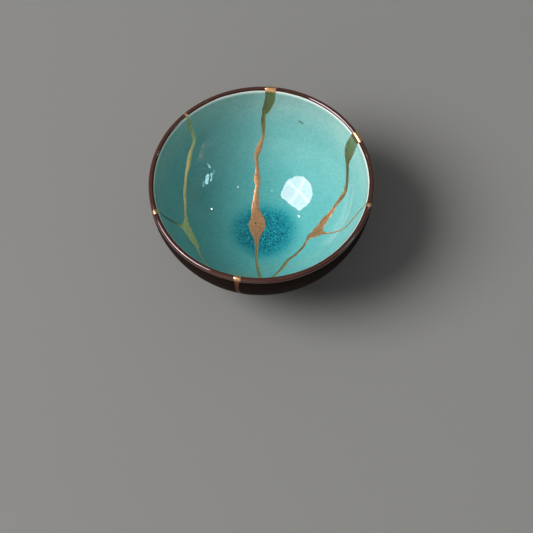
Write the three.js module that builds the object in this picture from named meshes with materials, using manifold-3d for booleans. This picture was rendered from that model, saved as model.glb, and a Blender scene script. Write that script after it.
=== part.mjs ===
import * as THREE from 'three';
import { mergeVertices } from 'three/addons/utils/BufferGeometryUtils.js';
import Module from 'manifold-3d';

// A round stoneware bowl that broke into six sherds and was mended with raised gold seams.
// Millimetres, +Z up, +X right, +Y back. The origin is the centre of the foot's resting face.

// Bowl
const rimRadius = 75;
const bowlHeight = 76;
const lipRounding = 1.65; // outer side of the lip, a quarter circle
const lipInset = 2.75; // inner side, a quarter ellipse this wide
const lipDrop = 4; // and this tall
const beadHeight = 3.4; // plain band from the top of the lip down to the groove
const grooveHeight = 0.8;
const grooveDepth = 0.4;
const wallDrop = 70; // outside from the groove down, part of an ellipsoid this deep
const floorHeight = 10; // inside bottom above the table
const footRadius = 30; // where the foot meets the wall
const footTaper = 1;
const footWidth = 5;
const footChamfer = 0.6;
const recessHeight = 3; // underside within the foot ring

// Mend
const goldProud = 0.25; // how far the gold stands out of the glaze
const goldLift = 0.2; // how far it stops above the resting face
const jointGap = 0.3; // clearance between the gold and the sherds beside it
const seamStep = 5.3; // degrees of bowl between two steps along a seam
const seamInnerReach = 55; // the gold is cut from walls that run between these
const seamOuterReach = 100; // two distances from the rim's centre

// Fineness
const sectors = 48;
const insideSteps = 11;
const lipSteps = 4;
const outsideSteps = 8;
const mergeDistance = 1e-4; // corners this close are one corner

// Seams, drawn on the bowl as seen from the rim's centre. Each point is a compass bearing
// (0 right, 90 back), a climb from the bottom (90 at the rim) and the width of the gold.
const frontMeeting = [-91, 51, 2.2];
const leftMeeting = [-100, 60, 2.4];
const seams = {
  back: [
    [83.5, 95, 8], [83.6, 83, 7], [85, 76.4, 6.5], [86.3, 72.5, 5], [87.2, 69.9, 2.8], [87.6, 64, 3.3],
    [87.4, 60, 2.2], [87.8, 55.5, 2.1], [90, 50.9, 3.6], [91.8, 47.3, 4.3], [93.1, 44.8, 3],
    [93.5, 37.4, 2.7], [94.3, 30.6, 4.6], [94.9, 26.8, 3.2], [97.1, 24.1, 3], [100, 19.2, 4.2],
    [107.4, 13.2, 6], [110, 9.4, 8], [118, 6.1, 11], [154, 3.5, 12.6], [-142, 4.6, 9],
    [-117.5, 7.6, 5], [-109, 11.4, 3], [-102, 19, 2.1], [-99.5, 25.2, 1.8], [-96.2, 31.8, 2.4],
    [-93.6, 40.5, 2.5], frontMeeting,
  ],
  right: [
    [26.3, 95, 9.5], [26.2, 88.5, 8.4], [27.4, 81.7, 9], [28.1, 75.6, 9.6], [27.2, 71.1, 8],
    [25.7, 68.3, 4.6], [22.7, 65.3, 3.2], [16.4, 60.5, 3.2], [11.9, 57, 3.6], [8.9, 51.9, 3.4],
    [6.3, 47.4, 3], [3.4, 44.9, 3.4], [-0.6, 41.1, 4.6], [-4.5, 38.3, 6.4], [-8.4, 36.7, 6],
    [-13.6, 35.1, 9.4], [-17.7, 32.7, 6.2], [-20.6, 30.8, 4.6], [-25, 30.2, 2.4], [-35.2, 30.2, 2],
    [-49.5, 30.2, 2.4], [-59.6, 30.4, 2.4], [-65.9, 32.4, 3], [-72, 35.6, 2.6], [-81, 41.5, 1.9],
    frontMeeting,
  ],
  left: [
    [132.7, 95, 1.4], [133, 88.8, 2], [132.7, 82.4, 3.4], [132.5, 75.2, 3], [133.3, 68.2, 2.8],
    [134.9, 66.5, 2.9], [138.8, 64.3, 3.3], [142.5, 61.5, 4], [145.7, 59.1, 3.9], [149.3, 57.8, 2.8],
    [154.1, 55.4, 2.5], [162.1, 52.7, 2.7], [170, 50.2, 2.6], [178.8, 49.1, 2.4], [182.9, 48.7, 3.4],
    [188, 49.1, 6.6], [191.6, 48.9, 8.4], [196.3, 47.6, 7.6], [202, 46.9, 6.6], [205.8, 46.5, 4.6],
    [209.5, 47.4, 2.3], [220.3, 50, 1.8], [240.5, 56, 1.8], leftMeeting,
  ],
  front: [
    frontMeeting, leftMeeting, [-103, 70, 2.2], [-103.8, 79, 2.2], [-103.6, 84.5, 2.4],
    [-103.5, 88.5, 4.4], [-103.5, 95, 5],
  ],
  rightBranch: [
    [-15.5, 36.7, 4], [-17, 41, 1.7], [-17.4, 44, 1.1], [-17.2, 50.2, 1.2], [-16, 56.7, 1.6],
    [-11.9, 63, 1.8], [-9.8, 71.1, 1.5], [-11.6, 79.1, 1.4], [-13.5, 85, 1.6], [-16.3, 91, 2.4],
    [-16.5, 95, 2.4],
  ],
  leftBranch: [
    [190.6, 49.7, 4.5], [190.2, 56.3, 2.2], [189.6, 60.6, 2.2], [190, 65.8, 2.2], [189.8, 73, 1.6],
    [192.3, 79.9, 1.5], [196.6, 90, 3.2], [197, 95, 3.2],
  ],
};

// One place well inside each sherd, as bearing and climb.
const sherdPlaces = {
  sherd_back_left: [115, 60],
  sherd_back_right: [55, 60],
  sherd_right: [5, 72],
  sherd_front_right: [-50, 60],
  sherd_front_left: [-135, 75],
  sherd_left: [165, 75],
};

// Looks
const glazeMaterial = new THREE.MeshStandardMaterial({ color: 0x68b0ad, roughness: 0.2, metalness: 0 });
const goldMaterial = new THREE.MeshStandardMaterial({ color: 0xb08a5a, roughness: 0.35, metalness: 1 });

const wasm = await Module();
wasm.setup();

const innerRadius = rimRadius - lipRounding - lipInset;
const rimCentre = new THREE.Vector3(0, 0, bowlHeight);

// Half section from the middle of the inside, over the lip, to the middle of the underside.
// Every face stands out by the amount proud, but the resting face is lifted by lift.
function bowlSection(proud, lift) {
  const crestRadius = rimRadius - lipRounding;
  const insideTop = bowlHeight - lipDrop;
  const wallTop = bowlHeight - beadHeight - grooveHeight;
  const wallRadius = rimRadius + proud;
  const footTurn = Math.acos((footRadius + proud) / wallRadius);
  const footBottom = footRadius - footTaper + proud;
  const recessRadius = footRadius - footWidth - proud;
  const section = [];

  // inside, a half ellipse
  for (let i = 0; i < insideSteps; i += 1) {
    const turn = (Math.PI / 2) * (i / insideSteps);
    const depth = (insideTop - floorHeight - proud) * Math.cos(turn);
    section.push(new THREE.Vector2((innerRadius - proud) * Math.sin(turn), insideTop - depth));
  }
  // lip, from its inner side over the crest to its outer side
  for (let i = 0; i <= lipSteps; i += 1) {
    const turn = Math.PI * (1 - i / lipSteps);
    const inward = turn > Math.PI / 2;
    const wide = (inward ? lipInset : lipRounding) + proud;
    const tall = (inward ? lipDrop : lipRounding) + proud;
    const up = bowlHeight + proud - tall * (1 - Math.sin(turn));
    section.push(new THREE.Vector2(crestRadius + wide * Math.cos(turn), up));
  }
  // bead and groove
  section.push(new THREE.Vector2(wallRadius, wallTop + grooveHeight));
  section.push(new THREE.Vector2(wallRadius - grooveDepth, wallTop + grooveHeight / 2));
  // outside, part of an ellipsoid, down to the foot
  for (let i = 0; i <= outsideSteps; i += 1) {
    const turn = footTurn * (i / outsideSteps);
    const drop = (wallDrop + proud) * Math.sin(turn);
    section.push(new THREE.Vector2(wallRadius * Math.cos(turn), wallTop - drop));
  }
  // foot ring and the recess within it
  section.push(new THREE.Vector2(footBottom, footChamfer));
  section.push(new THREE.Vector2(footBottom - footChamfer, lift));
  section.push(new THREE.Vector2(recessRadius + footChamfer, lift));
  section.push(new THREE.Vector2(recessRadius, footChamfer));
  section.push(new THREE.Vector2(recessRadius, recessHeight - proud));
  section.push(new THREE.Vector2(0, recessHeight - proud));
  return section;
}

// Closed solid from a geometry: shared corners are merged and collapsed triangles dropped.
function solidOf(geometry) {
  geometry.deleteAttribute('normal');
  geometry.deleteAttribute('uv');
  const merged = mergeVertices(geometry, mergeDistance);
  const index = merged.index.array;
  const triangles = [];
  for (let i = 0; i < index.length; i += 3) {
    const [a, b, c] = index.slice(i, i + 3);
    if (a !== b && b !== c && c !== a) {
      triangles.push(a, b, c);
    }
  }
  return new wasm.Manifold(new wasm.Mesh({
    numProp: 3,
    vertProperties: new Float32Array(merged.attributes.position.array),
    triVerts: new Uint32Array(triangles),
  }));
}

// Bowl turned from its half section.
function bowlSolid(proud, lift) {
  const section = bowlSection(proud, lift).reverse();
  const turned = new THREE.LatheGeometry(section, sectors);
  turned.rotateX(Math.PI / 2);
  return solidOf(turned);
}

// Direction from the rim's centre to a place on the unrolled bowl, where the bottom is the
// middle and a place lies as many units out as it is degrees up the wall.
function wallDirection(place) {
  const climb = THREE.MathUtils.degToRad(Math.hypot(place.x, place.y));
  const bearing = Math.atan2(place.y, place.x);
  const out = Math.sin(climb);
  return new THREE.Vector3(out * Math.cos(bearing), out * Math.sin(bearing), -Math.cos(climb));
}

// Place on the unrolled bowl, with the width of the gold as its third number.
function unrolled([bearing, climb, width = 0]) {
  const turn = THREE.MathUtils.degToRad(bearing);
  return new THREE.Vector3(climb * Math.cos(turn), climb * Math.sin(turn), width);
}

// Wall along a seam: a box with many steps, bent along the seam's line. Its sides point at the
// rim's centre, and the clearance widens it on both sides.
function seamWall(points, clearance) {
  const line = new THREE.CatmullRomCurve3(points.map(unrolled));
  const steps = Math.round(line.getLength() / seamStep);
  const nudge = 1 / (4 * steps); // a quarter step, to find the way the seam runs
  const wall = new THREE.BoxGeometry(1, 1, 1, steps, 1, 1);
  const corners = wall.attributes.position;
  for (let i = 0; i < corners.count; i += 1) {
    const along = corners.getX(i) + 0.5;
    const place = line.getPointAt(along);
    const before = wallDirection(line.getPointAt(Math.max(along - nudge, 0)));
    const after = wallDirection(line.getPointAt(Math.min(along + nudge, 1)));
    const direction = wallDirection(place);
    const across = direction.clone().cross(after.sub(before)).normalize();
    const offset = (corners.getY(i) * (place.z + 2 * clearance)) / innerRadius;
    const reach = corners.getZ(i) < 0 ? seamInnerReach : seamOuterReach;
    const corner = direction.addScaledVector(across, offset).multiplyScalar(reach).add(rimCentre);
    corners.setXYZ(i, corner.x, corner.y, corner.z);
  }
  return solidOf(wall);
}

// All the seams' walls joined into one network.
function seamNetwork(clearance) {
  const walls = Object.values(seams).map((points) => seamWall(points, clearance));
  return walls.reduce((network, wall) => network.add(wall));
}

// Distance from a place on the bowl's inside to the nearest corner of a solid.
function distanceTo(place, solid) {
  const corners = solid.getMesh().vertProperties;
  const from = wallDirection(unrolled(place)).multiplyScalar(innerRadius).add(rimCentre);
  const corner = new THREE.Vector3();
  let nearest = Infinity;
  for (let i = 0; i < corners.length; i += 3) {
    nearest = Math.min(nearest, from.distanceTo(corner.fromArray(corners, i)));
  }
  return nearest;
}

// Named mesh of a finished solid.
function meshOf(name, solid, material) {
  const { vertProperties, triVerts } = solid.getMesh();
  const geometry = new THREE.BufferGeometry();
  geometry.setAttribute('position', new THREE.BufferAttribute(vertProperties, 3));
  geometry.setIndex(new THREE.BufferAttribute(triVerts, 1));
  geometry.computeVertexNormals();
  const mesh = new THREE.Mesh(geometry, material);
  mesh.name = name;
  return mesh;
}

const bowl = new THREE.Group();

// Sherds: the whole bowl, parted along the seams, each piece named by the place that lies on it.
const fragments = bowlSolid(0, 0).subtract(seamNetwork(jointGap)).decompose();
for (const [name, place] of Object.entries(sherdPlaces)) {
  const byDistance = (a, b) => distanceTo(place, a) - distanceTo(place, b);
  const sherd = [...fragments].sort(byDistance)[0];
  bowl.add(meshOf(name, sherd, glazeMaterial.clone()));
}

// Gold: the seams' walls, kept where they lie in the bowl's wall and just proud of it.
const gold = bowlSolid(goldProud, goldLift).intersect(seamNetwork(0));
bowl.add(meshOf('gold_seams', gold, goldMaterial));

export default bowl;
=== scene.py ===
import math

import bpy
import numpy as np
from mathutils import Matrix, Vector


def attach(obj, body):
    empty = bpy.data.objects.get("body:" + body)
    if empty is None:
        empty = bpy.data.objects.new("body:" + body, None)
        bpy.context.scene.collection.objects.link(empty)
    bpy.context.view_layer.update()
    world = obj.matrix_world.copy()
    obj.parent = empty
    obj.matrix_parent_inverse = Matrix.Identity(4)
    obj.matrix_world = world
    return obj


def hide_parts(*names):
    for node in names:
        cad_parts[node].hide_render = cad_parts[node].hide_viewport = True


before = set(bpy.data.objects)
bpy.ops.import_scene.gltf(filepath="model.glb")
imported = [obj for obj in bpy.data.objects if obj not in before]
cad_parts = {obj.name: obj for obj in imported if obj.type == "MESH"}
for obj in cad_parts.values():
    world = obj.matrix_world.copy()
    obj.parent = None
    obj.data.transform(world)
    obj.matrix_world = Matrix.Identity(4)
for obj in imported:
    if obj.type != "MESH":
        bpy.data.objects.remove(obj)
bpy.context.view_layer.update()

scene = bpy.context.scene
scene.view_settings.view_transform = "Standard"
print("frame loaded with", len(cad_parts), "nodes")


# The bowl's sizes in metres, as the frame has them
bowl = {
    "rimRadius": 0.075,
    "height": 0.076,
    "lipRounding": 0.00165,  # outer side of the lip, a quarter circle
    "lipInset": 0.00275,  # inner side, a quarter ellipse this wide
    "lipDrop": 0.004,  # and this tall
    "beadHeight": 0.0034,  # band from the crest of the lip down to the groove
    "grooveHeight": 0.0008,
    "grooveDepth": 0.0004,
    "wallDrop": 0.070,  # outside from the groove down, part of an ellipsoid this deep
    "floorHeight": 0.010,  # inside bottom above the table
    "footRadius": 0.030,
    "footTaper": 0.001,
    "footWidth": 0.005,
    "recessHeight": 0.003,
    "recessInset": 0.002,  # its flat starts this far in from the foot ring
    "footRounding": 0.0008,
    "filletRounding": 0.002,  # where the wall runs into the foot
    "columns": 288,  # round the axis
    "insideSteps": 91,  # along each stretch of the section
    "lipSteps": 21,
    "beadSteps": 15,
    "outsideSteps": 71,
    "recessSteps": 13,
    "cornerSteps": 7,
    "sameCorner": 1e-7,  # corners closer than this are one
    "waver": 0.00016,  # how far the thrown wall strays from true round
    "outWaves": ((2, 0.7, 0, 1.0), (3, -1.2, 3, 0.6), (5, 2.1, -7, 0.4)),  # number, phase, drift and share
    "liftWaves": ((2, 2.4, 0, 0.8), (3, 0.3, 0, 0.5)),
}
crestRadius = bowl["rimRadius"] - bowl["lipRounding"]
innerRadius = crestRadius - bowl["lipInset"]
insideTop = bowl["height"] - bowl["lipDrop"]
innerDepth = insideTop - bowl["floorHeight"]
rimCentre = np.array((0.0, 0.0, bowl["height"]))


# Camera: a long lens that looks down into the bowl at the photograph's angle
photoView = {
    "imageSide": 533,  # pixels
    "rimPixel": (261.05, 180.9),  # where the centre of the rim falls
    "pixelsPerMetre": 1504,  # at the centre of the rim
    "distance": 1.2,
    "elevation": 60.3,  # degrees above the rim's plane
    "roll": -1.6,
    "sensor": 36.0,
    "clip": (0.01, 50),
}


def makeCamera(view):
    # the camera stands back from the rim's centre, and turns until that centre falls on its pixel
    climb, roll = math.radians(view["elevation"]), math.radians(view["roll"])
    back = Vector((0, -math.cos(climb), math.sin(climb)))
    level = Vector((1, 0, 0))
    right = math.cos(roll) * level + math.sin(roll) * back.cross(level)
    up = back.cross(right)
    focalPixels = view["pixelsPerMetre"] * view["distance"]
    middle = view["imageSide"] / 2
    sideways = (middle - view["rimPixel"][0]) / focalPixels
    downwards = (middle - view["rimPixel"][1]) / focalPixels
    axis = (back - sideways * right + downwards * up).normalized()
    across = (right - right.dot(axis) * axis).normalized()
    data = bpy.data.cameras.new("photoCamera")
    data.sensor_width = view["sensor"]
    data.lens = view["sensor"] * focalPixels / view["imageSide"]
    data.clip_start, data.clip_end = view["clip"]
    camera = bpy.data.objects.new("photoCamera", data)
    turn = Matrix((across, axis.cross(across), axis)).transposed().to_4x4()
    camera.matrix_world = Matrix.Translation(Vector(rimCentre) + view["distance"] * back) @ turn
    scene.collection.objects.link(camera)
    scene.camera = camera


makeCamera(photoView)
print("camera placed")


def meshObject(name, points, faces):
    # new object from an array of points and one or more arrays of faces
    mesh = bpy.data.meshes.new(name)
    rows = [row for block in faces for row in np.asarray(block).tolist()]
    mesh.from_pydata(np.asarray(points).tolist(), [], rows)
    mesh.validate()
    mesh.update()
    made = bpy.data.objects.new(name, mesh)
    scene.collection.objects.link(made)
    return made


def readRows(items, key):
    # three numbers of each corner or face, as rows
    rows = np.empty(len(items) * 3, np.float32)
    items.foreach_get(key, rows)
    return rows.reshape(-1, 3).astype(float)


def smoothShading(mesh, sharpAngle):
    # smooth all over, with a crease where two faces meet at more than the angle
    mesh.polygons.foreach_set("use_smooth", np.ones(len(mesh.polygons), bool))
    mesh.set_sharp_from_angle(angle=math.radians(sharpAngle))
    mesh.update()


def roundedCorner(before, corner, after, rounding):
    # quadratic curve that starts and ends one rounding away from the corner, or halfway to the next corner
    before, corner, after = (np.array(p, float) for p in (before, corner, after))
    start = corner + (before - corner) * min(0.5, rounding / np.linalg.norm(before - corner))
    end = corner + (after - corner) * min(0.5, rounding / np.linalg.norm(after - corner))
    t = np.linspace(0, 1, bowl["cornerSteps"])[:, None]
    return (1 - t) ** 2 * start + 2 * t * (1 - t) * corner + t ** 2 * end


def bowlSection():
    # half section as rows of radius and height: half ellipse inside, quarter ellipse up to the crest of the
    # lip, quarter circle over it, bead with a cosine groove, part of an ellipse outside, then the foot ring
    rim, top = bowl["rimRadius"], bowl["height"]
    wallTop = top - bowl["beadHeight"] - bowl["grooveHeight"]
    turn = np.linspace(0, math.pi / 2, bowl["insideSteps"])
    inside = np.stack((innerRadius * np.sin(turn), insideTop - innerDepth * np.cos(turn)), 1)
    turn = np.linspace(0, math.pi / 2, bowl["lipSteps"])[1:]
    radius = crestRadius - bowl["lipInset"] * np.cos(turn)
    inward = np.stack((radius, insideTop + bowl["lipDrop"] * np.sin(turn)), 1)
    outerTop = top - bowl["lipRounding"]
    turn = turn[:-1][::-1]
    outward = np.stack((np.cos(turn), np.sin(turn)), 1) * bowl["lipRounding"] + (crestRadius, outerTop)
    height = np.linspace(outerTop, wallTop, bowl["beadSteps"])
    grooveCentre = wallTop + bowl["grooveHeight"]
    near = np.clip(np.abs(height - grooveCentre) / bowl["grooveHeight"], 0, 1)
    bead = np.stack((rim - bowl["grooveDepth"] * (1 + np.cos(math.pi * near)) / 2, height), 1)
    footTurn = math.acos((bowl["footRadius"] + bowl["filletRounding"]) / rim)
    turn = np.linspace(0, footTurn, bowl["outsideSteps"])[1:]
    outside = np.stack((rim * np.cos(turn), wallTop - bowl["wallDrop"] * np.sin(turn)), 1)
    footTop = math.acos(bowl["footRadius"] / rim)
    footBottom = bowl["footRadius"] - bowl["footTaper"]
    recessRadius = bowl["footRadius"] - bowl["footWidth"]
    corners = (
        outside[-1],
        (bowl["footRadius"], wallTop - bowl["wallDrop"] * math.sin(footTop)),
        (footBottom, 0),
        (recessRadius, 0),
        (recessRadius, bowl["recessHeight"]),
        (0, bowl["recessHeight"]),
    )
    roundings = (bowl["filletRounding"],) + (bowl["footRounding"],) * 3
    foot = [roundedCorner(*corners[i:i + 3], roundings[i]) for i in range(4)]
    radius = np.linspace(recessRadius - bowl["recessInset"], 0, bowl["recessSteps"])
    recess = np.stack((radius, np.full(bowl["recessSteps"], bowl["recessHeight"])), 1)
    rows = np.concatenate((inside, inward, outward, bead, outside, *foot, recess))
    fresh = np.linalg.norm(np.diff(rows, axis=0), axis=1) > bowl["sameCorner"]
    return rows[np.concatenate(([True], fresh))]


section = bowlSection()
sectionWalk = np.concatenate(([0], np.cumsum(np.linalg.norm(np.diff(section, axis=0), axis=1))))
crestWalk = sectionWalk[np.argmax(section[:, 1])]
sectionSlope = np.gradient(section, sectionWalk, axis=0)
sectionNormal = np.stack((-sectionSlope[:, 1], sectionSlope[:, 0]), 1)


def alongSection(walk):
    # radius and height, and the outward normal, at distances walked from the inside bottom
    place = np.stack([np.interp(walk, sectionWalk, column) for column in section.T], 1)
    normal = np.stack([np.interp(walk, sectionWalk, column) for column in sectionNormal.T], 1)
    return place, normal / np.linalg.norm(normal, axis=1)[:, None]


def turned(rows, columns):
    # rows of radius and height carried round the axis, as an array of rows by columns
    turn = np.arange(columns) * (2 * math.pi / columns)
    out, up = rows[:, :1], rows[:, 1:]
    return np.stack((out * np.cos(turn), out * np.sin(turn), up + 0 * turn), -1)


def turnedIds(rows, columns):
    # number of each corner, with one corner for the whole first row and one for the whole last row
    ids = np.arange(rows * columns).reshape(rows, columns)
    ids[0] = ids[0, 0]
    ids[-1] = ids[-1, 0]
    return ids


def turnedFaces(ids):
    # four corners of each cell between two rows and two columns, the last column joined to the first
    beside = np.roll(ids, -1, axis=1)
    return np.stack((ids[:-1], ids[1:], beside[1:], beside[:-1]), -1)


def closedPoles(cells):
    # cells that close on a pole become triangles
    upper = cells[:, 0] == cells[:, 3]
    lower = cells[:, 1] == cells[:, 2]
    return [cells[~(upper | lower)], cells[upper][:, :3], cells[lower][:, [0, 1, 3]]]


def usedOnly(points, faces):
    # drops the corners that no face uses
    used = np.unique(np.concatenate([block.ravel() for block in faces]))
    renumber = np.zeros(len(points), int)
    renumber[used] = np.arange(len(used))
    return points[used], [renumber[block] for block in faces]


def slowWaves(waves, bearing, rise):
    # sum of sine waves round the bowl, each of which drifts round with height
    total = 0.0
    for number, phase, drift, share in waves:
        total = total + share * np.sin(number * bearing + phase + drift * rise)
    return total


def handThrown(points):
    # a thrown wall is never quite round: slow waves move it in and out and up and down, most at the rim and
    # not at all at the foot
    bearing = np.arctan2(points[:, 1], points[:, 0])
    rise = np.clip(points[:, 2] / bowl["height"], 0, 1)
    out = slowWaves(bowl["outWaves"], bearing, rise)
    lift = slowWaves(bowl["liftWaves"], bearing, rise)
    moved = points.copy()
    radius = np.maximum(np.hypot(points[:, 0], points[:, 1]), 1e-6)
    amount = bowl["waver"] * rise ** 2
    moved[:, :2] *= (1 + amount * out / radius)[:, None]
    moved[:, 2] += amount * lift
    return moved


# Seams as the frame has them, seen from the rim's centre: compass bearing (0 right, 90 back) and climb
# from the bottom (90 at the rim) in degrees, and the width of the gold in millimetres
curveSteps = 40  # between two points
frontMeeting = (-91, 51, 2.2)
leftMeeting = (-100, 60, 2.4)
seams = {
    "back": (
        (83.5, 95, 8), (83.6, 83, 7), (85, 76.4, 6.5), (86.3, 72.5, 5), (87.2, 69.9, 2.8), (87.6, 64, 3.3),
        (87.4, 60, 2.2), (87.8, 55.5, 2.1), (90, 50.9, 3.6), (91.8, 47.3, 4.3), (93.1, 44.8, 3),
        (93.5, 37.4, 2.7), (94.3, 30.6, 4.6), (94.9, 26.8, 3.2), (97.1, 24.1, 3), (100, 19.2, 4.2),
        (107.4, 13.2, 6), (110, 9.4, 8), (118, 6.1, 11), (154, 3.5, 12.6), (-142, 4.6, 9),
        (-117.5, 7.6, 5), (-109, 11.4, 3), (-102, 19, 2.1), (-99.5, 25.2, 1.8), (-96.2, 31.8, 2.4),
        (-93.6, 40.5, 2.5), frontMeeting,
    ),
    "right": (
        (26.3, 95, 9.5), (26.2, 88.5, 8.4), (27.4, 81.7, 9), (28.1, 75.6, 9.6), (27.2, 71.1, 8),
        (25.7, 68.3, 4.6), (22.7, 65.3, 3.2), (16.4, 60.5, 3.2), (11.9, 57, 3.6), (8.9, 51.9, 3.4),
        (6.3, 47.4, 3), (3.4, 44.9, 3.4), (-0.6, 41.1, 4.6), (-4.5, 38.3, 6.4), (-8.4, 36.7, 6),
        (-13.6, 35.1, 9.4), (-17.7, 32.7, 6.2), (-20.6, 30.8, 4.6), (-25, 30.2, 2.4), (-35.2, 30.2, 2),
        (-49.5, 30.2, 2.4), (-59.6, 30.4, 2.4), (-65.9, 32.4, 3), (-72, 35.6, 2.6), (-81, 41.5, 1.9),
        frontMeeting,
    ),
    "left": (
        (132.7, 95, 1.4), (133, 88.8, 2), (132.7, 82.4, 3.4), (132.5, 75.2, 3), (133.3, 68.2, 2.8),
        (134.9, 66.5, 2.9), (138.8, 64.3, 3.3), (142.5, 61.5, 4), (145.7, 59.1, 3.9), (149.3, 57.8, 2.8),
        (154.1, 55.4, 2.5), (162.1, 52.7, 2.7), (170, 50.2, 2.6), (178.8, 49.1, 2.4), (182.9, 48.7, 3.4),
        (188, 49.1, 6.6), (191.6, 48.9, 8.4), (196.3, 47.6, 7.6), (202, 46.9, 6.6), (205.8, 46.5, 4.6),
        (209.5, 47.4, 2.3), (220.3, 50, 1.8), (240.5, 56, 1.8), leftMeeting,
    ),
    "front": (
        frontMeeting, leftMeeting, (-103, 70, 2.2), (-103.8, 79, 2.2), (-103.6, 84.5, 2.4),
        (-103.5, 88.5, 4.4), (-103.5, 95, 5),
    ),
    "rightBranch": (
        (-15.5, 36.7, 4), (-17, 41, 1.7), (-17.4, 44, 1.1), (-17.2, 50.2, 1.2), (-16, 56.7, 1.6),
        (-11.9, 63, 1.8), (-9.8, 71.1, 1.5), (-11.6, 79.1, 1.4), (-13.5, 85, 1.6), (-16.3, 91, 2.4),
        (-16.5, 95, 2.4),
    ),
    "leftBranch": (
        (190.6, 49.7, 4.5), (190.2, 56.3, 2.2), (189.6, 60.6, 2.2), (190, 65.8, 2.2), (189.8, 73, 1.6),
        (192.3, 79.9, 1.5), (196.6, 90, 3.2), (197, 95, 3.2),
    ),
}


def wallDirection(bearing, climb):
    # unit vector from the rim's centre, both angles in radians
    out = np.sin(climb)
    return np.stack((out * np.cos(bearing), out * np.sin(bearing), -np.cos(climb)), -1)


def seamLine(points, spacing):
    # centripetal Catmull-Rom curve through the points of the unrolled bowl, where a place lies as many
    # units out from the bottom as it is degrees up the wall, walked at an even spacing in degrees
    bearing, climb, width = np.array(points, float).T
    bearing = np.radians(bearing)
    knots = np.stack((climb * np.cos(bearing), climb * np.sin(bearing), width), 1)
    knots = np.concatenate((2 * knots[:1] - knots[1:2], knots, 2 * knots[-1:] - knots[-2:-1]))
    gap = np.sqrt(np.linalg.norm(np.diff(knots, axis=0), axis=1))[:, None]
    first, start, end, last = knots[:-3], knots[1:-2], knots[2:-1], knots[3:]
    before, here, after = gap[:-2], gap[1:-1], gap[2:]
    leaving = here * ((start - first) / before - (end - first) / (before + here)) + end - start
    arriving = here * ((last - end) / after - (last - start) / (here + after)) + end - start
    t = np.linspace(0, 1, curveSteps, endpoint=False)[:, None, None]
    bend = 3 * (end - start) - 2 * leaving - arriving
    twist = 2 * (start - end) + leaving + arriving
    line = (start + t * leaving + t ** 2 * bend + t ** 3 * twist).transpose(1, 0, 2).reshape(-1, 3)
    line = np.concatenate((line, end[-1:]))
    walk = np.concatenate(([0], np.cumsum(np.linalg.norm(np.diff(line, axis=0), axis=1))))
    even = np.linspace(0, walk[-1], round(walk[-1] / spacing) + 1)
    line = np.stack([np.interp(even, walk, column) for column in line.T], 1)
    climb = np.radians(np.hypot(line[:, 0], line[:, 1]))
    return wallDirection(np.arctan2(line[:, 1], line[:, 0]), climb), line[:, 2] / 1000


# Sherds: the whole bowl turned from its section, then parted along the seams
sherd = {
    "sawStep": 2.5,  # degrees of bowl between two steps along a cut
    "underGold": 0.0004,  # how far the sherds run in under the gold on each side
    "narrowest": 0.0003,  # half the narrowest gap between two sherds
    "overrun": 0.0006,  # cuts run this far past their ends, so that they meet
    "cutReach": (0.055, 0.100),
    "sharpAngle": 38,
    "walkSteps": 2400,  # places along the section that a point is measured against
    "blockSize": 4000,  # points measured at a time
    "cutDepth": 0.00012,  # a face this far below the surface is a broken edge
    "bareHeight": 0.0002,  # a face lower than this rests on the table
    "outsideRun": 0.0044,  # walk from the crest to the middle of the groove
    "places": {  # one place well inside each sherd, as bearing and climb
        "sherd_back_left": (115, 60),
        "sherd_back_right": (55, 60),
        "sherd_right": (5, 72),
        "sherd_front_right": (-50, 60),
        "sherd_front_left": (-135, 75),
        "sherd_left": (165, 75),
    },
}


def seamCut(name, points):
    # rectangle carried along the seam: its sides point at the rim's centre and it runs right through the wall
    direction, width = seamLine(points, sherd["sawStep"])
    ahead = np.gradient(direction, axis=0)
    ahead /= np.linalg.norm(ahead, axis=1)[:, None]
    across = np.cross(direction, ahead)
    overrun = sherd["overrun"] / innerRadius
    direction[0] -= overrun * ahead[0]
    direction[-1] += overrun * ahead[-1]
    half = np.maximum(width / 2 - sherd["underGold"], sherd["narrowest"])[:, None] / innerRadius
    near, far = sherd["cutReach"]
    left, right = direction - half * across, direction + half * across
    ring = np.stack((near * left, near * right, far * right, far * left), 1) + rimCentre
    ids = np.arange(ring.shape[0] * 4).reshape(-1, 4)
    beside = np.roll(ids, -1, axis=1)
    sides = np.stack((ids[:-1], beside[:-1], beside[1:], ids[1:]), -1).reshape(-1, 4)
    return meshObject(name, ring.reshape(-1, 3), [sides, ids[-1:], ids[:1, ::-1]])


def nearestOnSection(points):
    # for each point, the distance to the section and the walk from the crest to that place
    walk = np.linspace(0, sectionWalk[-1], sherd["walkSteps"])
    rows = alongSection(walk)[0]
    flat = np.stack((np.hypot(points[:, 0], points[:, 1]), points[:, 2]), 1)
    blocks = np.array_split(flat, 1 + len(flat) // sherd["blockSize"])
    best = np.concatenate([((rows ** 2).sum(1) - 2 * block @ rows.T).argmin(1) for block in blocks])
    return np.linalg.norm(flat - rows[best], axis=1), walk[best] - crestWalk


def keepRun(mesh, points):
    # the walk from the crest to each corner, for the finishes to read
    run = nearestOnSection(points)[1]
    mesh.attributes.new("glazeRun", "FLOAT", "POINT").data.foreach_set("value", run.astype(np.float32))


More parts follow.
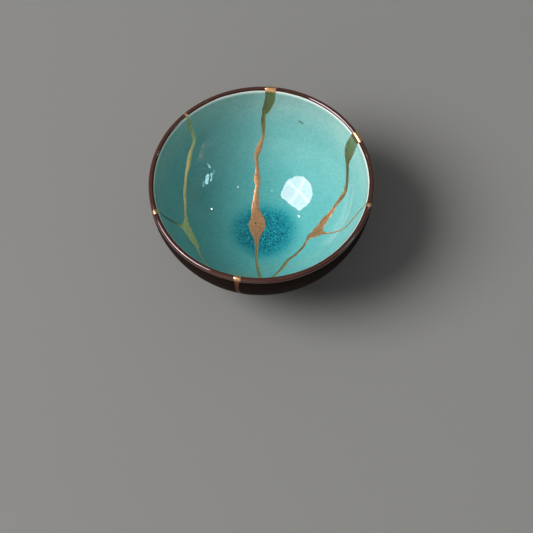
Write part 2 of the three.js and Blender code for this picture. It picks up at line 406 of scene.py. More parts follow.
def partedBowl():
    # revolved section less the cuts, as loose pieces
    ids = turnedIds(len(section), bowl["columns"])
    faces = closedPoles(turnedFaces(ids).reshape(-1, 4))
    whole = meshObject("wholeBowl", *usedOnly(turned(section, bowl["columns"]).reshape(-1, 3), faces))
    cuts = [seamCut(name + "Cut", points) for name, points in seams.items()]
    for cut in cuts:
        parting = whole.modifiers.new(cut.name, "BOOLEAN")
        parting.operation = "DIFFERENCE"
        parting.solver = "MANIFOLD"
        parting.object = cut
    graph = bpy.context.evaluated_depsgraph_get()
    mesh = bpy.data.meshes.new_from_object(whole.evaluated_get(graph))
    whole.modifiers.clear()
    whole.data = mesh
    for cut in cuts:
        bpy.data.objects.remove(cut)
    bpy.ops.object.select_all(action="DESELECT")
    bpy.context.view_layer.objects.active = whole
    whole.select_set(True)
    bpy.ops.mesh.separate(type="LOOSE")
    return list(bpy.context.selected_objects)


def makeSherds(finishes):
    # each loose piece takes the name of the frame's sherd whose place lies nearest to it; its faces take the
    # first finish inside and on the lip, the second outside, the third where the clay is bare
    fragments = partedBowl()
    corners = [readRows(fragment.data.vertices, "co") for fragment in fragments]
    kept = []
    for node, place in sherd["places"].items():
        target = rimCentre + innerRadius * wallDirection(*np.radians(place))
        nearest = [np.linalg.norm(points - target, axis=1).min() for points in corners]
        which = int(np.argmin(nearest))
        piece, points = fragments[which], corners[which]
        mesh = piece.data
        piece.name = mesh.name = "glazed_" + node
        keepRun(mesh, points)
        middles = readRows(mesh.polygons, "center")
        below, walked = nearestOnSection(middles)
        bare = (below > sherd["cutDepth"]) | (middles[:, 2] < sherd["bareHeight"])
        finish = np.where(bare, 2, walked > sherd["outsideRun"])
        mesh.materials.clear()
        for material in finishes:
            mesh.materials.append(material)
        mesh.polygons.foreach_set("material_index", finish.astype(np.int32))
        mesh.vertices.foreach_set("co", handThrown(points).astype(np.float32).ravel())
        smoothShading(mesh, sherd["sharpAngle"])
        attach(piece, "root")
        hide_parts(node)
        kept.append(piece)
        print(piece.name, len(mesh.polygons), "faces")
    for fragment in fragments:
        if fragment not in kept:
            bpy.data.objects.remove(fragment)


# Gold: one skin over every seam, domed, run together where seams meet
gold = {
    "cells": 420,  # cells across the bowl
    "roughStep": 1.6,  # degrees of bowl between two steps along a seam, far from the gold
    "lineStep": 0.3,  # and near it
    "nearby": 0.004,
    "proud": 0.00019,  # height of a wide patch above the glaze
    "shoulder": 0.0010,  # how far in from its edge the gold rises
    "web": 0.0016,  # how wide the gold fills the corner where two seams meet
    "waver": 0.00016,  # unevenness of the edges, in long and short waves
    "waverWaves": (0.0085, 0.0036),
    "shortShare": 0.6,
    "ripple": 0.00003,  # unevenness of the top
    "rippleWaves": 0.005,
    "margin": 0.00045,  # the skin runs on this far under the glaze
    "thickness": 0.0009,
    "aboveTable": 0.0001,
    "sharpAngle": 60,
    "blockSize": 12000,  # places measured at a time
}


def uneven(points, waves):
    # sum of sine waves along slanting directions, between about -1 and 1
    slant = np.array(((0.61, 0.32, 0.72), (-0.43, 0.83, 0.35), (0.27, -0.58, 0.77), (0.88, 0.41, -0.24)))
    phase = np.array((0.3, 2.1, 4.4, 5.2))
    length = waves * np.array((1.0, 0.73, 1.31, 0.57))
    return np.sin((points @ slant.T) * (2 * math.pi / length) + phase).sum(-1) / 4


def ribbonDistance(direction, points, spacing):
    # way across the seam at its nearest step less half the width there, turned square to the edge where
    # the width changes
    line, width = seamLine(points, spacing)
    step = innerRadius * np.linalg.norm(np.diff(line, axis=0), axis=1)
    flare = np.gradient(width / 2, np.concatenate(([0], np.cumsum(step))))
    ahead = np.gradient(line, axis=0)
    ahead /= np.linalg.norm(ahead, axis=1)[:, None]
    away = np.empty(len(direction))
    for block in np.array_split(np.arange(len(direction)), 1 + len(direction) // gold["blockSize"]):
        best = (direction[block] @ line.T).argmax(1)
        offset = innerRadius * (direction[block] - line[best])
        along = np.clip((offset * ahead[best]).sum(1), -step.mean(), step.mean())
        across = np.linalg.norm(offset - along[:, None] * ahead[best], axis=1)
        away[block] = (across - width[best] / 2 - flare[best] * along) / np.sqrt(1 + flare[best] ** 2)
    return away


def goldDistance(direction, spacing):
    # distance from each direction to the nearest edge of the gold, less than nothing on the gold:
    # smooth minimum of the distances to the seams
    nearest = np.full(len(direction), 1.0)
    for points in seams.values():
        away = ribbonDistance(direction, points, spacing)
        close = np.clip(1 - np.abs(nearest - away) / gold["web"], 0, 1)
        nearest = np.minimum(nearest, away) - gold["web"] * close ** 2 / 4
    return nearest


def squareToDisc(cells):
    # corners of a square grid drawn out so that its square rings become circles, each a share of the way
    # from the middle, with the turn about the middle
    side = np.linspace(-1, 1, cells + 1)
    across, along = np.meshgrid(side, side, indexing="ij")
    steep = np.abs(along) > np.abs(across)
    longer = np.where(steep, along, across)
    ratio = np.where(steep, across, along) / np.where(longer == 0, 1, longer)
    turn = np.where(steep, math.pi / 2 - ratio * math.pi / 4, ratio * math.pi / 4)
    return np.abs(longer).ravel(), (turn + np.where(longer < 0, math.pi, 0)).ravel()


def onBowl(walk, turn):
    # places on the bowl's surface and their outward normals
    place, normal = alongSection(walk)
    around = np.stack((np.cos(turn), np.sin(turn)), 1)
    points = np.concatenate((place[:, :1] * around, place[:, 1:]), 1)
    return points, np.concatenate((normal[:, :1] * around, normal[:, 1:]), 1)


def filledCorners(kept):
    # where two cells touch only at a corner, the two beside them are kept as well
    first, below, beside, across = kept[:-1, :-1], kept[1:, :-1], kept[:-1, 1:], kept[1:, 1:]
    touch = (first & across & ~below & ~beside) | (below & beside & ~first & ~across)
    filled = kept.copy()
    filled[:-1, :-1] |= touch
    filled[1:, :-1] |= touch
    filled[:-1, 1:] |= touch
    filled[1:, 1:] |= touch
    return filled


def edgeWalls(skin, offset):
    # walls from the skin's free edges, which only one cell uses, down to its back
    start, end = skin.ravel(), np.roll(skin, -1, axis=1).ravel()
    free = ~np.isin(start * offset + end, end * offset + start)
    start, end = start[free], end[free]
    return np.stack((end, start, start + offset, end + offset), 1)


def makeGold(finish):
    # skin on two square grids, one from the inside bottom and one from the underside, that share the crest
    # of the lip; its height grows from the edge of the gold inwards and levels out
    share, turn = squareToDisc(gold["cells"])
    under = sectionWalk[-1] - share * (sectionWalk[-1] - crestWalk)
    base, normal = onBowl(np.concatenate((share * crestWalk, under)), np.concatenate((turn, turn)))
    direction = base - rimCentre
    direction /= np.linalg.norm(direction, axis=1)[:, None]
    away = goldDistance(direction, gold["roughStep"])
    near = away < gold["nearby"]
    away[near] = goldDistance(direction[near], gold["lineStep"])
    long, short = gold["waverWaves"]
    away += gold["waver"] * (uneven(base, long) + gold["shortShare"] * uneven(base, short))
    rise = gold["proud"] * (1 - np.exp(np.minimum(away, 0) / gold["shoulder"]))
    ripple = gold["ripple"] * uneven(base, gold["rippleWaves"])
    rise += ripple * np.clip(-away / gold["shoulder"], 0, 1)
    rise -= np.clip(away, 0, gold["margin"]) * gold["proud"] / gold["shoulder"]
    top = base + rise[:, None] * normal
    top[:, 2] = np.maximum(top[:, 2], gold["aboveTable"])
    back = base - gold["thickness"] * normal

    corners = gold["cells"] + 1
    inner = np.arange(corners ** 2).reshape(corners, corners)
    outer = inner + corners ** 2
    edge = np.ones_like(inner, bool)
    edge[1:-1, 1:-1] = False
    outer[edge] = inner[edge]
    skins = []
    for ids, order in ((inner, (0, 1, 2, 3)), (outer, (3, 2, 1, 0))):
        cells = np.stack((ids[:-1, :-1], ids[1:, :-1], ids[1:, 1:], ids[:-1, 1:]), -1)
        kept = filledCorners((away[cells] < gold["margin"]).any(2))
        skins.append(cells[kept][:, order])
    skin = np.concatenate(skins)
    faces = [skin, skin[:, ::-1] + len(base), edgeWalls(skin, len(base))]
    points, faces = usedOnly(np.concatenate((top, back)), faces)
    piece = meshObject("gold_mend", handThrown(points), faces)
    keepRun(piece.data, points)
    piece.data.materials.append(finish)
    smoothShading(piece.data, gold["sharpAngle"])
    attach(piece, "root")
    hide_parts("gold_seams")
    print(piece.name, len(piece.data.polygons), "faces")


# Node helpers
def addNode(tree, kind, values, **settings):
    # new node with its settings; a value is a number, a colour or another node's output
    node = tree.nodes.new(kind)
    for key, setting in settings.items():
        setattr(node, key, setting)
    for socket, value in values.items():
        if isinstance(value, bpy.types.NodeSocket):
            tree.links.new(value, node.inputs[socket])
        else:
            node.inputs[socket].default_value = value
    return node


def mixed(tree, factor, first, second, blend="MIX"):
    # colour between two colours, by the factor; the node numbers its colour sockets 6 and 7
    values = {0: factor, 6: first, 7: second}
    return addNode(tree, "ShaderNodeMix", values, data_type="RGBA", blend_type=blend).outputs[2]


def ramped(tree, value, low, high, toLow=0.0, toHigh=1.0):
    # smooth step from one value to another
    values = {"Value": value, "From Min": low, "From Max": high, "To Min": toLow, "To Max": toHigh}
    return addNode(tree, "ShaderNodeMapRange", values, interpolation_type="SMOOTHSTEP").outputs["Result"]


def worked(tree, operation, first, second=0.0):
    # one sum on one or two values
    return addNode(tree, "ShaderNodeMath", {0: first, 1: second}, operation=operation).outputs[0]


def vectorWorked(tree, operation, first, second=(0, 0, 0)):
    # one sum on one or two vectors, which gives a vector, a length or a product
    node = addNode(tree, "ShaderNodeVectorMath", {0: first, 1: second}, operation=operation)
    return node.outputs["Value" if operation in ("LENGTH", "DOT_PRODUCT") else "Vector"]


def newGroup(name, inputs, outputs):
    # empty node group with its named sockets
    tree = bpy.data.node_groups.new(name, "ShaderNodeTree")
    for label, kind in inputs.items():
        tree.interface.new_socket(name=label, in_out="INPUT", socket_type=kind)
    for label, kind in outputs.items():
        tree.interface.new_socket(name=label, in_out="OUTPUT", socket_type=kind)
    return tree, tree.nodes.new("NodeGroupInput").outputs, tree.nodes.new("NodeGroupOutput").inputs


mottleLook = {
    "detail": 4.0,
    "roughness": 0.55,
    "spread": (0.3, 0.7),  # the part of the noise that is spread to run from 0 to 1
}


def makeMottle():
    # cloudy unevenness: noise, spread out
    inputs = {"Vector": "NodeSocketVector", "Scale": "NodeSocketFloat"}
    tree, given, out = newGroup("mottle", inputs, {"Amount": "NodeSocketFloat"})
    values = {"Vector": given["Vector"], "Scale": given["Scale"]}
    values.update({"Detail": mottleLook["detail"], "Roughness": mottleLook["roughness"]})
    noise = addNode(tree, "ShaderNodeTexNoise", values)
    tree.links.new(ramped(tree, noise.outputs["Fac"], *mottleLook["spread"]), out["Amount"])
    return tree


def makeCrackle():
    # glaze cells: a shade for each cell, and the fine lines between the cells
    inputs = {"Vector": "NodeSocketVector", "Scale": "NodeSocketFloat", "Line": "NodeSocketFloat"}
    outputs = {"Shade": "NodeSocketFloat", "Lines": "NodeSocketFloat"}
    tree, given, out = newGroup("crackle", inputs, outputs)
    values = {"Vector": given["Vector"], "Scale": given["Scale"]}
    cell = addNode(tree, "ShaderNodeTexVoronoi", values)
    edge = addNode(tree, "ShaderNodeTexVoronoi", values, feature="DISTANCE_TO_EDGE")
    shade = addNode(tree, "ShaderNodeSeparateColor", {"Color": cell.outputs["Color"]})
    tree.links.new(shade.outputs["Red"], out["Shade"])
    tree.links.new(ramped(tree, edge.outputs["Distance"], 0.0, given["Line"], 1.0, 0.0), out["Lines"])
    return tree


mottle = makeMottle()
crackle = makeCrackle()


def mottled(tree, place, scale):
    # one use of the mottle, with so many clouds to the metre
    values = {"Vector": place, "Scale": scale}
    return addNode(tree, "ShaderNodeGroup", values, node_tree=mottle).outputs["Amount"]


def crackled(tree, place, scale, line):
    # one use of the crackle, with so many cells to the metre and lines this share of a cell wide
    values = {"Vector": place, "Scale": scale, "Line": line}
    return addNode(tree, "ShaderNodeGroup", values, node_tree=crackle).outputs


def shaderAlone(name, kind):
    # material with one shader in it; returns both
    material = bpy.data.materials.new(name)
    material.use_nodes = True
    tree = material.node_tree
    tree.nodes.clear()
    shader = tree.nodes.new(kind)
    output = tree.nodes.new("ShaderNodeOutputMaterial")
    tree.links.new(shader.outputs[0], output.inputs["Surface"])
    return material, shader


def newMaterial(name):
    # material to be filled in; returns it with its tree, its shader and object coordinates
    material, shader = shaderAlone(name, "ShaderNodeBsdfPrincipled")
    tree = material.node_tree
    return material, tree, shader, tree.nodes.new("ShaderNodeTexCoord").outputs["Object"]


def bumped(tree, shader, height, strength, distance):
    # fine relief on the shader
    values = {"Height": height, "Strength": strength, "Distance": distance}
    tree.links.new(addNode(tree, "ShaderNodeBump", values).outputs["Normal"], shader.inputs["Normal"])


# Glaze: turquoise inside with a dark blue pool, a cream line under the lip and brown over it
glaze = {
    "wallLow": (0.122, 0.440, 0.435, 1),
    "wall": (0.196, 0.478, 0.460, 1),
    "rimPale": (0.440, 0.640, 0.590, 1),
    "thick": (0.700, 0.850, 0.860, 1),  # what a thicker coat lets through
    "poolShallow": (0.022, 0.310, 0.345, 1),
    "poolMid": (0.002, 0.190, 0.240, 1),
    "poolDeep": (0.0, 0.062, 0.112, 1),
    "poolGrain": (0.020, 0.380, 0.420, 1),
    "cream": (0.690, 0.735, 0.675, 1),
    "line": (0.008, 0.002, 0.001, 1),
    "brown": (0.048, 0.011, 0.005, 1),
    "rust": (0.060, 0.017, 0.009, 1),
    "fleck": (0.080, 0.110, 0.100, 1),
    "poolCentre": (0.0015, -0.0040, 0.0),
    "poolEdge": (0.0360, 0.0050),  # radius where the pool starts, and where it is deepest
    "wallHeight": (0.010, 0.040),  # between these heights the wall takes its colour
    "paleHeight": (0.040, 0.074),  # and here it pales towards the lip
    "insideRun": (-0.030, -0.040),  # walks from the crest of the lip, less than nothing inside
    "creamEdge": (-0.0037, -0.0030),
    "lineEdge": (-0.0020, -0.0017),
    "brownEdge": (-0.0011, -0.0007),
    "stray": 0.0003,  # how far these edges wander
    "lipCoat": 0.70,  # second coat of clear glaze over the brown
    "cloudScale": 45.0,
    "fleckScale": 750.0,
    "speckScale": 1250.0,
    "pebble": (1250.0, 0.12),  # cells to the metre, and the lines between them
    "spots": (640.0, 0.20),
    "cloudShare": 0.50,  # how much thicker the coat is in the clouds
    "spotShare": 0.50,  # and in the spots
    "ragged": 0.0025,  # how far the pool's edge wanders
    "shallowPool": (0.05, 0.55),  # depths of the pool where it turns blue, and dark
    "deepPool": (0.20, 0.85),
    "midGrain": (0.5, 1.0),  # grain from dark to middle, and on to pale
    "paleGrain": (1.0, 1.7),
    "roughness": (0.015, 0.045),
    "ior": 1.42,
    "lineDepth": 0.02,
    "relief": (0.12, 0.0002),  # strength and depth
    "fleckPlace": (0.0286, 0.0600, 0.0511),
    "fleckWay": (0.825, -0.507, -0.250),
    "fleckSize": (0.0026, 0.00035),  # half its length and width
}


def speckMask(tree, place, middle, way, size):
    # one slender speck: within half its length of its middle, and within half its width of its line
    offset = vectorWorked(tree, "SUBTRACT", place, middle)
    along = vectorWorked(tree, "DOT_PRODUCT", offset, way)
    out = vectorWorked(tree, "LENGTH", offset)
    square = worked(tree, "POWER", along, 2.0)
    across = worked(tree, "SQRT", worked(tree, "SUBTRACT", worked(tree, "POWER", out, 2.0), square))
    long, wide = size
    ends = ramped(tree, worked(tree, "SQRT", square), long, long / 2)
    return worked(tree, "MULTIPLY", ends, ramped(tree, across, 2 * wide, wide))


def glazedStoneware():
    # colours laid over each other from the bottom of the bowl up to the lip and over it
    material, tree, shader, place = newMaterial("glazedStoneware")
    run = addNode(tree, "ShaderNodeAttribute", {}, attribute_name="glazeRun").outputs["Fac"]
    height = addNode(tree, "ShaderNodeSeparateXYZ", {"Vector": place}).outputs["Z"]
    clouds = mottled(tree, place, glaze["cloudScale"])
    flecks = mottled(tree, place, glaze["fleckScale"])
    specks = mottled(tree, place, glaze["speckScale"])
    pebble = crackled(tree, place, *glaze["pebble"])
    spots = crackled(tree, place, *glaze["spots"])

    wall = mixed(tree, ramped(tree, height, *glaze["wallHeight"]), glaze["wallLow"], glaze["wall"])
    wall = mixed(tree, ramped(tree, height, *glaze["paleHeight"]), wall, glaze["rimPale"])
    cloudy = worked(tree, "MULTIPLY", clouds, glaze["cloudShare"])
    wall = mixed(tree, cloudy, wall, glaze["thick"], "MULTIPLY")
    spotted = worked(tree, "MULTIPLY", worked(tree, "ADD", spots["Shade"], flecks), glaze["spotShare"])
    wall = mixed(tree, spotted, wall, glaze["thick"], "MULTIPLY")
    fleck = speckMask(tree, place, glaze["fleckPlace"], glaze["fleckWay"], glaze["fleckSize"])
    wall = mixed(tree, fleck, wall, glaze["fleck"])

    centred = vectorWorked(tree, "SUBTRACT", place, glaze["poolCentre"])
    level = vectorWorked(tree, "MULTIPLY", centred, (1, 1, 0))
    out = vectorWorked(tree, "LENGTH", level)
    ragged = worked(tree, "MULTIPLY", worked(tree, "ADD", pebble["Shade"], clouds), glaze["ragged"])
    pool = ramped(tree, worked(tree, "ADD", out, ragged), *glaze["poolEdge"])
    pool = worked(tree, "MULTIPLY", pool, ramped(tree, run, *glaze["insideRun"]))
    grain = worked(tree, "ADD", specks, pebble["Shade"])
    depth = mixed(tree, ramped(tree, grain, *glaze["midGrain"]), glaze["poolDeep"], glaze["poolMid"])
    depth = mixed(tree, ramped(tree, grain, *glaze["paleGrain"]), depth, glaze["poolGrain"])
    shallow = mixed(tree, ramped(tree, pool, *glaze["shallowPool"]), wall, glaze["poolShallow"])
    colour = mixed(tree, ramped(tree, pool, *glaze["deepPool"]), shallow, depth)

    strayed = worked(tree, "ADD", run, worked(tree, "MULTIPLY", clouds, glaze["stray"]))
    colour = mixed(tree, ramped(tree, strayed, *glaze["creamEdge"]), colour, glaze["cream"])
    colour = mixed(tree, ramped(tree, strayed, *glaze["lineEdge"]), colour, glaze["line"])
    brown = mixed(tree, clouds, glaze["brown"], glaze["rust"])
    onLip = ramped(tree, strayed, *glaze["brownEdge"])
    tree.links.new(mixed(tree, onLip, colour, brown), shader.inputs["Base Color"])
    tree.links.new(worked(tree, "MULTIPLY", onLip, glaze["lipCoat"]), shader.inputs["Coat Weight"])

    tree.links.new(ramped(tree, flecks, 0.0, 1.0, *glaze["roughness"]), shader.inputs["Roughness"])
    shader.inputs["IOR"].default_value = glaze["ior"]
    lines = worked(tree, "MULTIPLY", pebble["Lines"], glaze["lineDepth"])
    bumped(tree, shader, worked(tree, "SUBTRACT", clouds, lines), *glaze["relief"])
    return material


# Outside: a thin brown glaze, almost black and only half glossy
outside = {
    "dark": (0.0090, 0.0048, 0.0034, 1),
    "brown": (0.0220, 0.0095, 0.0062, 1),
    "cloudScale": 60.0,
    "fleckScale": 500.0,
    "roughness": (0.55, 0.70),
    "specular": 0.03,
    "relief": (0.12, 0.0002),  # strength and depth
}


def brownGlaze():
    # brown clouds in the dark glaze, duller where it is thin
    material, tree, shader, place = newMaterial("brownGlaze")
    clouds = mottled(tree, place, outside["cloudScale"])
    flecks = mottled(tree, place, outside["fleckScale"])
    thin = worked(tree, "MULTIPLY", clouds, flecks)
    tree.links.new(mixed(tree, thin, outside["dark"], outside["brown"]), shader.inputs["Base Color"])
    tree.links.new(ramped(tree, thin, 0.0, 1.0, *outside["roughness"]), shader.inputs["Roughness"])
    shader.inputs["Specular IOR Level"].default_value = outside["specular"]
    bumped(tree, shader, flecks, *outside["relief"])
    return material


# Bare clay: broken edges and the resting face of the foot
clay = {
    "pale": (0.420, 0.310, 0.220, 1),
    "dark": (0.250, 0.170, 0.115, 1),
    "speck": (0.060, 0.040, 0.030, 1),
    "cloudScale": 160.0,
    "grit": (1500.0, 0.1),  # cells to the metre, and the lines between them
    "speckShade": (0.90, 0.97),  # only the palest cells are specks
    "roughness": (0.75, 0.95),
    "relief": (0.4, 0.0002),  # strength and depth
}


def bareClay():
    # cloudy buff stoneware with dark specks
    material, tree, shader, place = newMaterial("bareClay")
    clouds = mottled(tree, place, clay["cloudScale"])
    grit = crackled(tree, place, *clay["grit"])
    colour = mixed(tree, clouds, clay["pale"], clay["dark"])
    speck = ramped(tree, grit["Shade"], *clay["speckShade"])
    tree.links.new(mixed(tree, speck, colour, clay["speck"]), shader.inputs["Base Color"])
    tree.links.new(ramped(tree, clouds, 0.0, 1.0, *clay["roughness"]), shader.inputs["Roughness"])
    bumped(tree, shader, grit["Shade"], *clay["relief"])
    return material


# Gold powder over lacquer
goldFinish = {
    "bright": (0.820, 0.505, 0.245, 1),
    "dull": (0.710, 0.420, 0.195, 1),
    "grain": (0.560, 0.320, 0.140, 1),
    # partly painted reflection: the red-brown of the lacquer outside also stands in for a warm reflection in
    # the gold
    "lacquerAndReflection": (0.085, 0.015, 0.011, 1),
    "wearAndReflectionRun": (0.0028, 0.0046),  # walk from the crest of the lip where the gold is gone outside, partly wear and partly a painted reflection
    "wearAndReflectionShare": (0.88, 0.99),  # and how much of it is gone, in patches
    # painted shade: darker gold along the left branch, as if it lay in shadow and reflected the dark
    "branchShade": (0.300, 0.235, 0.150, 1),
    "branchShadePlace": (-0.0637, -0.0112, 0.0472),
    "branchShadeWay": (-0.400, -0.070, 0.914),
    "branchShadeSize": (0.0170, 0.0035),  # half its length and width
    "pit": (0.180, 0.110, 0.055, 1),
    "pitPlace": (-0.0047, 0.0038, 0.0104),
    "pitWay": (1.0, 0.0, 0.0),
    "pitSize": (0.0008, 0.0004),  # half its length and width
    "cloudScale": 230.0,
    "grainScale": 1300.0,
    "powderScale": 2200.0,
    "grainShare": 0.12,
    "stray": 0.0008,  # how far the edge of the worn part wanders
    "roughness": (0.25, 0.37),
    "specular": 0.02,  # of the lacquer
    "relief": (0.25, 0.00006),  # strength and depth
}


def goldPowder():
    # brushed-on gold, cloudy, darkened along one branch by painted shade and with one small pit; scuffed off
    # outside, where the red-brown lacquer shows and the metal fades by as much, which is partly wear and
    # partly a painted reflection
    material, tree, shader, place = newMaterial("goldPowder")
    run = addNode(tree, "ShaderNodeAttribute", {}, attribute_name="glazeRun").outputs["Fac"]
    clouds = mottled(tree, place, goldFinish["cloudScale"])
    grain = mottled(tree, place, goldFinish["grainScale"])
    powder = mottled(tree, place, goldFinish["powderScale"])
    colour = mixed(tree, clouds, goldFinish["bright"], goldFinish["dull"])
    grained = worked(tree, "MULTIPLY", grain, goldFinish["grainShare"])
    colour = mixed(tree, grained, colour, goldFinish["grain"])
    # painted shade along one branch, and one small pit
    for mark in ("branchShade", "pit"):
        where = [goldFinish[mark + part] for part in ("Place", "Way", "Size")]
        colour = mixed(tree, speckMask(tree, place, *where), colour, goldFinish[mark])
    # partly painted reflection: outside, the lacquer covers nearly all the gold, both as wear and in place of
    # a warm reflection
    patchy = worked(tree, "ADD", run, worked(tree, "MULTIPLY", clouds, goldFinish["stray"]))
    rubbedAndReflection = ramped(tree, clouds, 0.0, 1.0, *goldFinish["wearAndReflectionShare"])
    wearAndReflection = worked(tree, "MULTIPLY", ramped(tree, patchy, *goldFinish["wearAndReflectionRun"]), rubbedAndReflection)
    tree.links.new(mixed(tree, wearAndReflection, colour, goldFinish["lacquerAndReflection"]), shader.inputs["Base Color"])
    tree.links.new(ramped(tree, powder, 0.0, 1.0, *goldFinish["roughness"]), shader.inputs["Roughness"])
    tree.links.new(worked(tree, "SUBTRACT", 1.0, wearAndReflection), shader.inputs["Metallic"])
    shader.inputs["Specular IOR Level"].default_value = goldFinish["specular"]
    bumped(tree, shader, powder, *goldFinish["relief"])
    return material


makeSherds((glazedStoneware(), brownGlaze(), bareClay()))
print("sherds parted")
makeGold(goldPowder())
print("gold laid")


# Studio: pale floor, dim room and one large soft light from the upper left. The softbox cloth, a small
# window and a few lamps only show in the gloss. Panels stand off from the rim's centre in a direction,
# with their corners in metres
studio = {
    "floorSide": 12.0,
    "floorDrop": 0.00005,  # a hair below the foot, so that no two faces share a plane
    "floor": (0.198, 0.200, 0.188, 1),
    "floorShade": (0.194, 0.196, 0.184, 1),
    "floorScale": 1.5,
    "floorRoughness": 0.8,
    "roomSide": (0.138, 0.138, 0.143, 1),
    "roomGlow": (  # overhead and low in front: direction, colour, and where it starts
        ((-0.15, -0.10, 0.98), (0.310, 0.315, 0.320, 1), 0.20),
        ((-0.40, -0.87, 0.28), (0.900, 0.900, 0.900, 1), 0.78),
    ),
    "panelDistance": 2.6,
}
keyLight = {
    "direction": (-0.670, -0.118, 0.733),
    "distance": 6.0,
    "radius": 1.85,
    "corners": 24,
    "strength": 13.6,
    "colour": (1.0, 1.0, 1.0, 1),
}
softbox = {
    "direction": (-0.598, -0.079, 0.798),
    "corners": ((0.66, 0.35), (0.13, 0.86), (-0.06, 0.83), (-0.93, 0.14), (-0.73, -0.40), (-0.46, -0.66),
                (0.0, -0.73), (0.51, -0.51), (0.68, -0.17)),
    "border": 0.86,  # the bright edge starts this share of the way out
    "ribs": (29, 129),  # degrees, the two cross ribs
    "ribWidth": (0.09, 0.03),
    "strength": 17.0,
    "ribGain": 0.50,
    "borderGain": 0.25,
    "colour": (1.0, 0.80, 0.88, 1),
}
window = {
    "direction": (0.821, -0.238, 0.518),
    "panes": (  # middle across and up, half its length and width, lean in degrees, strength
        (0.090, -0.100, 0.205, 0.085, 25, 20),
        (-0.105, 0.048, 0.180, 0.040, 29, 18),
        (0.337, -0.175, 0.125, 0.050, 29, 7),
        (-0.330, 0.060, 0.120, 0.035, 29, 5),
        (-0.440, -0.400, 0.170, 0.018, 73, 26),
    ),
    "colour": (0.52, 0.92, 1.0, 1),
}
lamps = {
    "places": (  # direction, half its side, strength
        ((0.745, 0.241, 0.622), 0.040, 55),
        ((0.408, -0.227, 0.884), 0.024, 30),
        ((-0.180, -0.167, 0.969), 0.024, 24),
        ((-0.543, 0.360, 0.758), 0.039, 46),
    ),
    "colour": (1.0, 1.0, 1.0, 1),
}


squareCorners = np.array(((-1, -1, 0), (1, -1, 0), (1, 1, 0), (-1, 1, 0)))
oneFace = np.arange(4)[None]


def paleFloor():
    # matt floor with very slight clouds
    material, tree, shader, place = newMaterial("paleFloor")
    clouds = mottled(tree, place, studio["floorScale"])
    tree.links.new(mixed(tree, clouds, studio["floor"], studio["floorShade"]), shader.inputs["Base Color"])
    shader.inputs["Roughness"].default_value = studio["floorRoughness"]
    return material


def glowing(name, colour, strength):
    # material that gives off light of one colour
    material, light = shaderAlone(name, "ShaderNodeEmission")
    light.inputs["Color"].default_value = colour
    light.inputs["Strength"].default_value = strength
    return material


def hungPanel(name, direction, points, faces, material, inGloss=True, distance=studio["panelDistance"]):
    # panel that stands off from the rim's centre and faces it, unseen by the camera, which either shows in
    # the gloss or lights what is dull
    panel = meshObject(name, points, faces)
    away = Vector(direction).normalized()
    turn = away.to_track_quat("Z", "Y").to_matrix().to_4x4()
    panel.matrix_world = Matrix.Translation(Vector(rimCentre) + distance * away) @ turn
    panel.visible_camera = False
    panel.visible_shadow = False
    panel.visible_glossy = inGloss
    panel.visible_diffuse = not inGloss
    panel.data.materials.append(material)
    return panel


def makeKeyLight():
    # round panel, a fan of corners about its middle
    turn = np.arange(keyLight["corners"]) * (2 * math.pi / keyLight["corners"])
    edge = keyLight["radius"] * np.stack((np.cos(turn), np.sin(turn), 0 * turn), 1)
    ring = 1 + np.arange(keyLight["corners"])
    fan = np.stack((0 * ring, ring, np.roll(ring, -1)), 1)
    material = glowing("keyCloth", keyLight["colour"], keyLight["strength"])
    points = np.concatenate((np.zeros((1, 3)), edge))
    hungPanel("keyPanel", keyLight["direction"], points, [fan], material, False, keyLight["distance"])


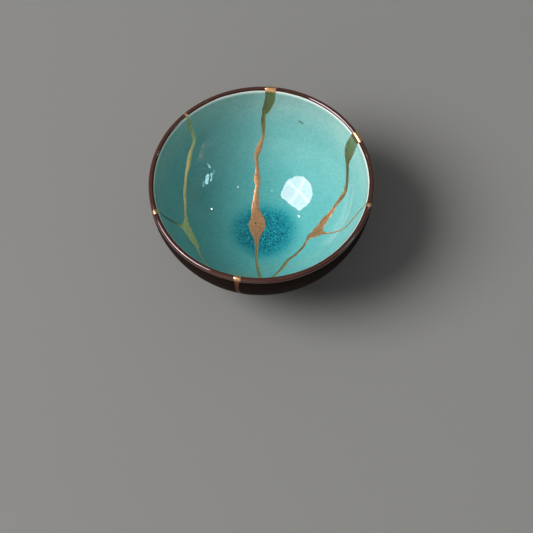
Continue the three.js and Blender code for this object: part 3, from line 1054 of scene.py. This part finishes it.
def makeSoftbox():
    # rings of corners at the middle, the border and the edge; the light grows along the ribs and at the edge
    edge = np.array(softbox["corners"])
    count = len(edge)
    flat = np.concatenate(((0 * edge[:1]), softbox["border"] * edge, edge))
    points = np.concatenate((flat, 0 * flat[:, :1]), 1)
    ring = 1 + np.arange(count)
    beside = np.roll(ring, -1)
    fan = np.stack((0 * ring, ring, beside), 1)
    band = np.stack((ring, ring + count, beside + count, beside), 1)
    material = glowing("softboxCloth", softbox["colour"], softbox["strength"])
    tree = material.node_tree
    place = tree.nodes.new("ShaderNodeTexCoord").outputs["Object"]
    gain = addNode(tree, "ShaderNodeAttribute", {}, attribute_name="border").outputs["Fac"]
    gain = worked(tree, "MULTIPLY", gain, softbox["borderGain"])
    for lean in np.radians(softbox["ribs"]):
        off = vectorWorked(tree, "DOT_PRODUCT", place, (-math.sin(lean), math.cos(lean), 0))
        off = worked(tree, "ABSOLUTE", off)
        rib = ramped(tree, off, *softbox["ribWidth"], 0.0, softbox["ribGain"])
        gain = worked(tree, "MAXIMUM", gain, rib)
    strength = worked(tree, "MULTIPLY", worked(tree, "ADD", gain, 1.0), softbox["strength"])
    tree.links.new(strength, tree.nodes["Emission"].inputs["Strength"])
    panel = hungPanel("softbox", softbox["direction"], points, [fan, band], material)
    glow = (np.arange(len(points)) > count).astype(np.float32)
    panel.data.attributes.new("border", "FLOAT", "POINT").data.foreach_set("value", glow)


def makeWindow():
    # each pane is a rectangle about its middle, turned by its lean
    for middleX, middleY, long, wide, lean, strength in window["panes"]:
        along = np.array((math.cos(math.radians(lean)), math.sin(math.radians(lean)), 0))
        across = np.array((-along[1], along[0], 0))
        material = glowing("windowPane", window["colour"], strength)
        sides = squareCorners * (long, wide, 0)
        points = np.array((middleX, middleY, 0)) + sides[:, :1] * along + sides[:, 1:2] * across
        hungPanel("windowPane", window["direction"], points, [oneFace], material)


def makeLamps():
    # small squares, far enough away to be glints in the glaze
    for direction, half, strength in lamps["places"]:
        material = glowing("lampGlass", lamps["colour"], strength)
        hungPanel("lamp", direction, half * squareCorners, [oneFace], material)


def makeRoom():
    # dim light from all sides, growing towards two directions
    world = bpy.data.worlds.new("room")
    world.use_nodes = True
    tree = world.node_tree
    way = tree.nodes.new("ShaderNodeTexCoord").outputs["Generated"]
    colour = studio["roomSide"]
    for towards, bright, start in studio["roomGlow"]:
        near = vectorWorked(tree, "DOT_PRODUCT", way, towards)
        colour = mixed(tree, ramped(tree, near, start, 1.0), colour, bright)
    tree.links.new(colour, tree.nodes["Background"].inputs["Color"])
    scene.world = world


def makeStudio():
    # floor, lights and room
    corners = squareCorners * studio["floorSide"] / 2 - (0, 0, studio["floorDrop"])
    floor = meshObject("studioFloor", corners, [oneFace])
    floor.data.materials.append(paleFloor())
    makeKeyLight()
    makeSoftbox()
    makeWindow()
    makeLamps()
    makeRoom()


makeStudio()
print("studio lit")
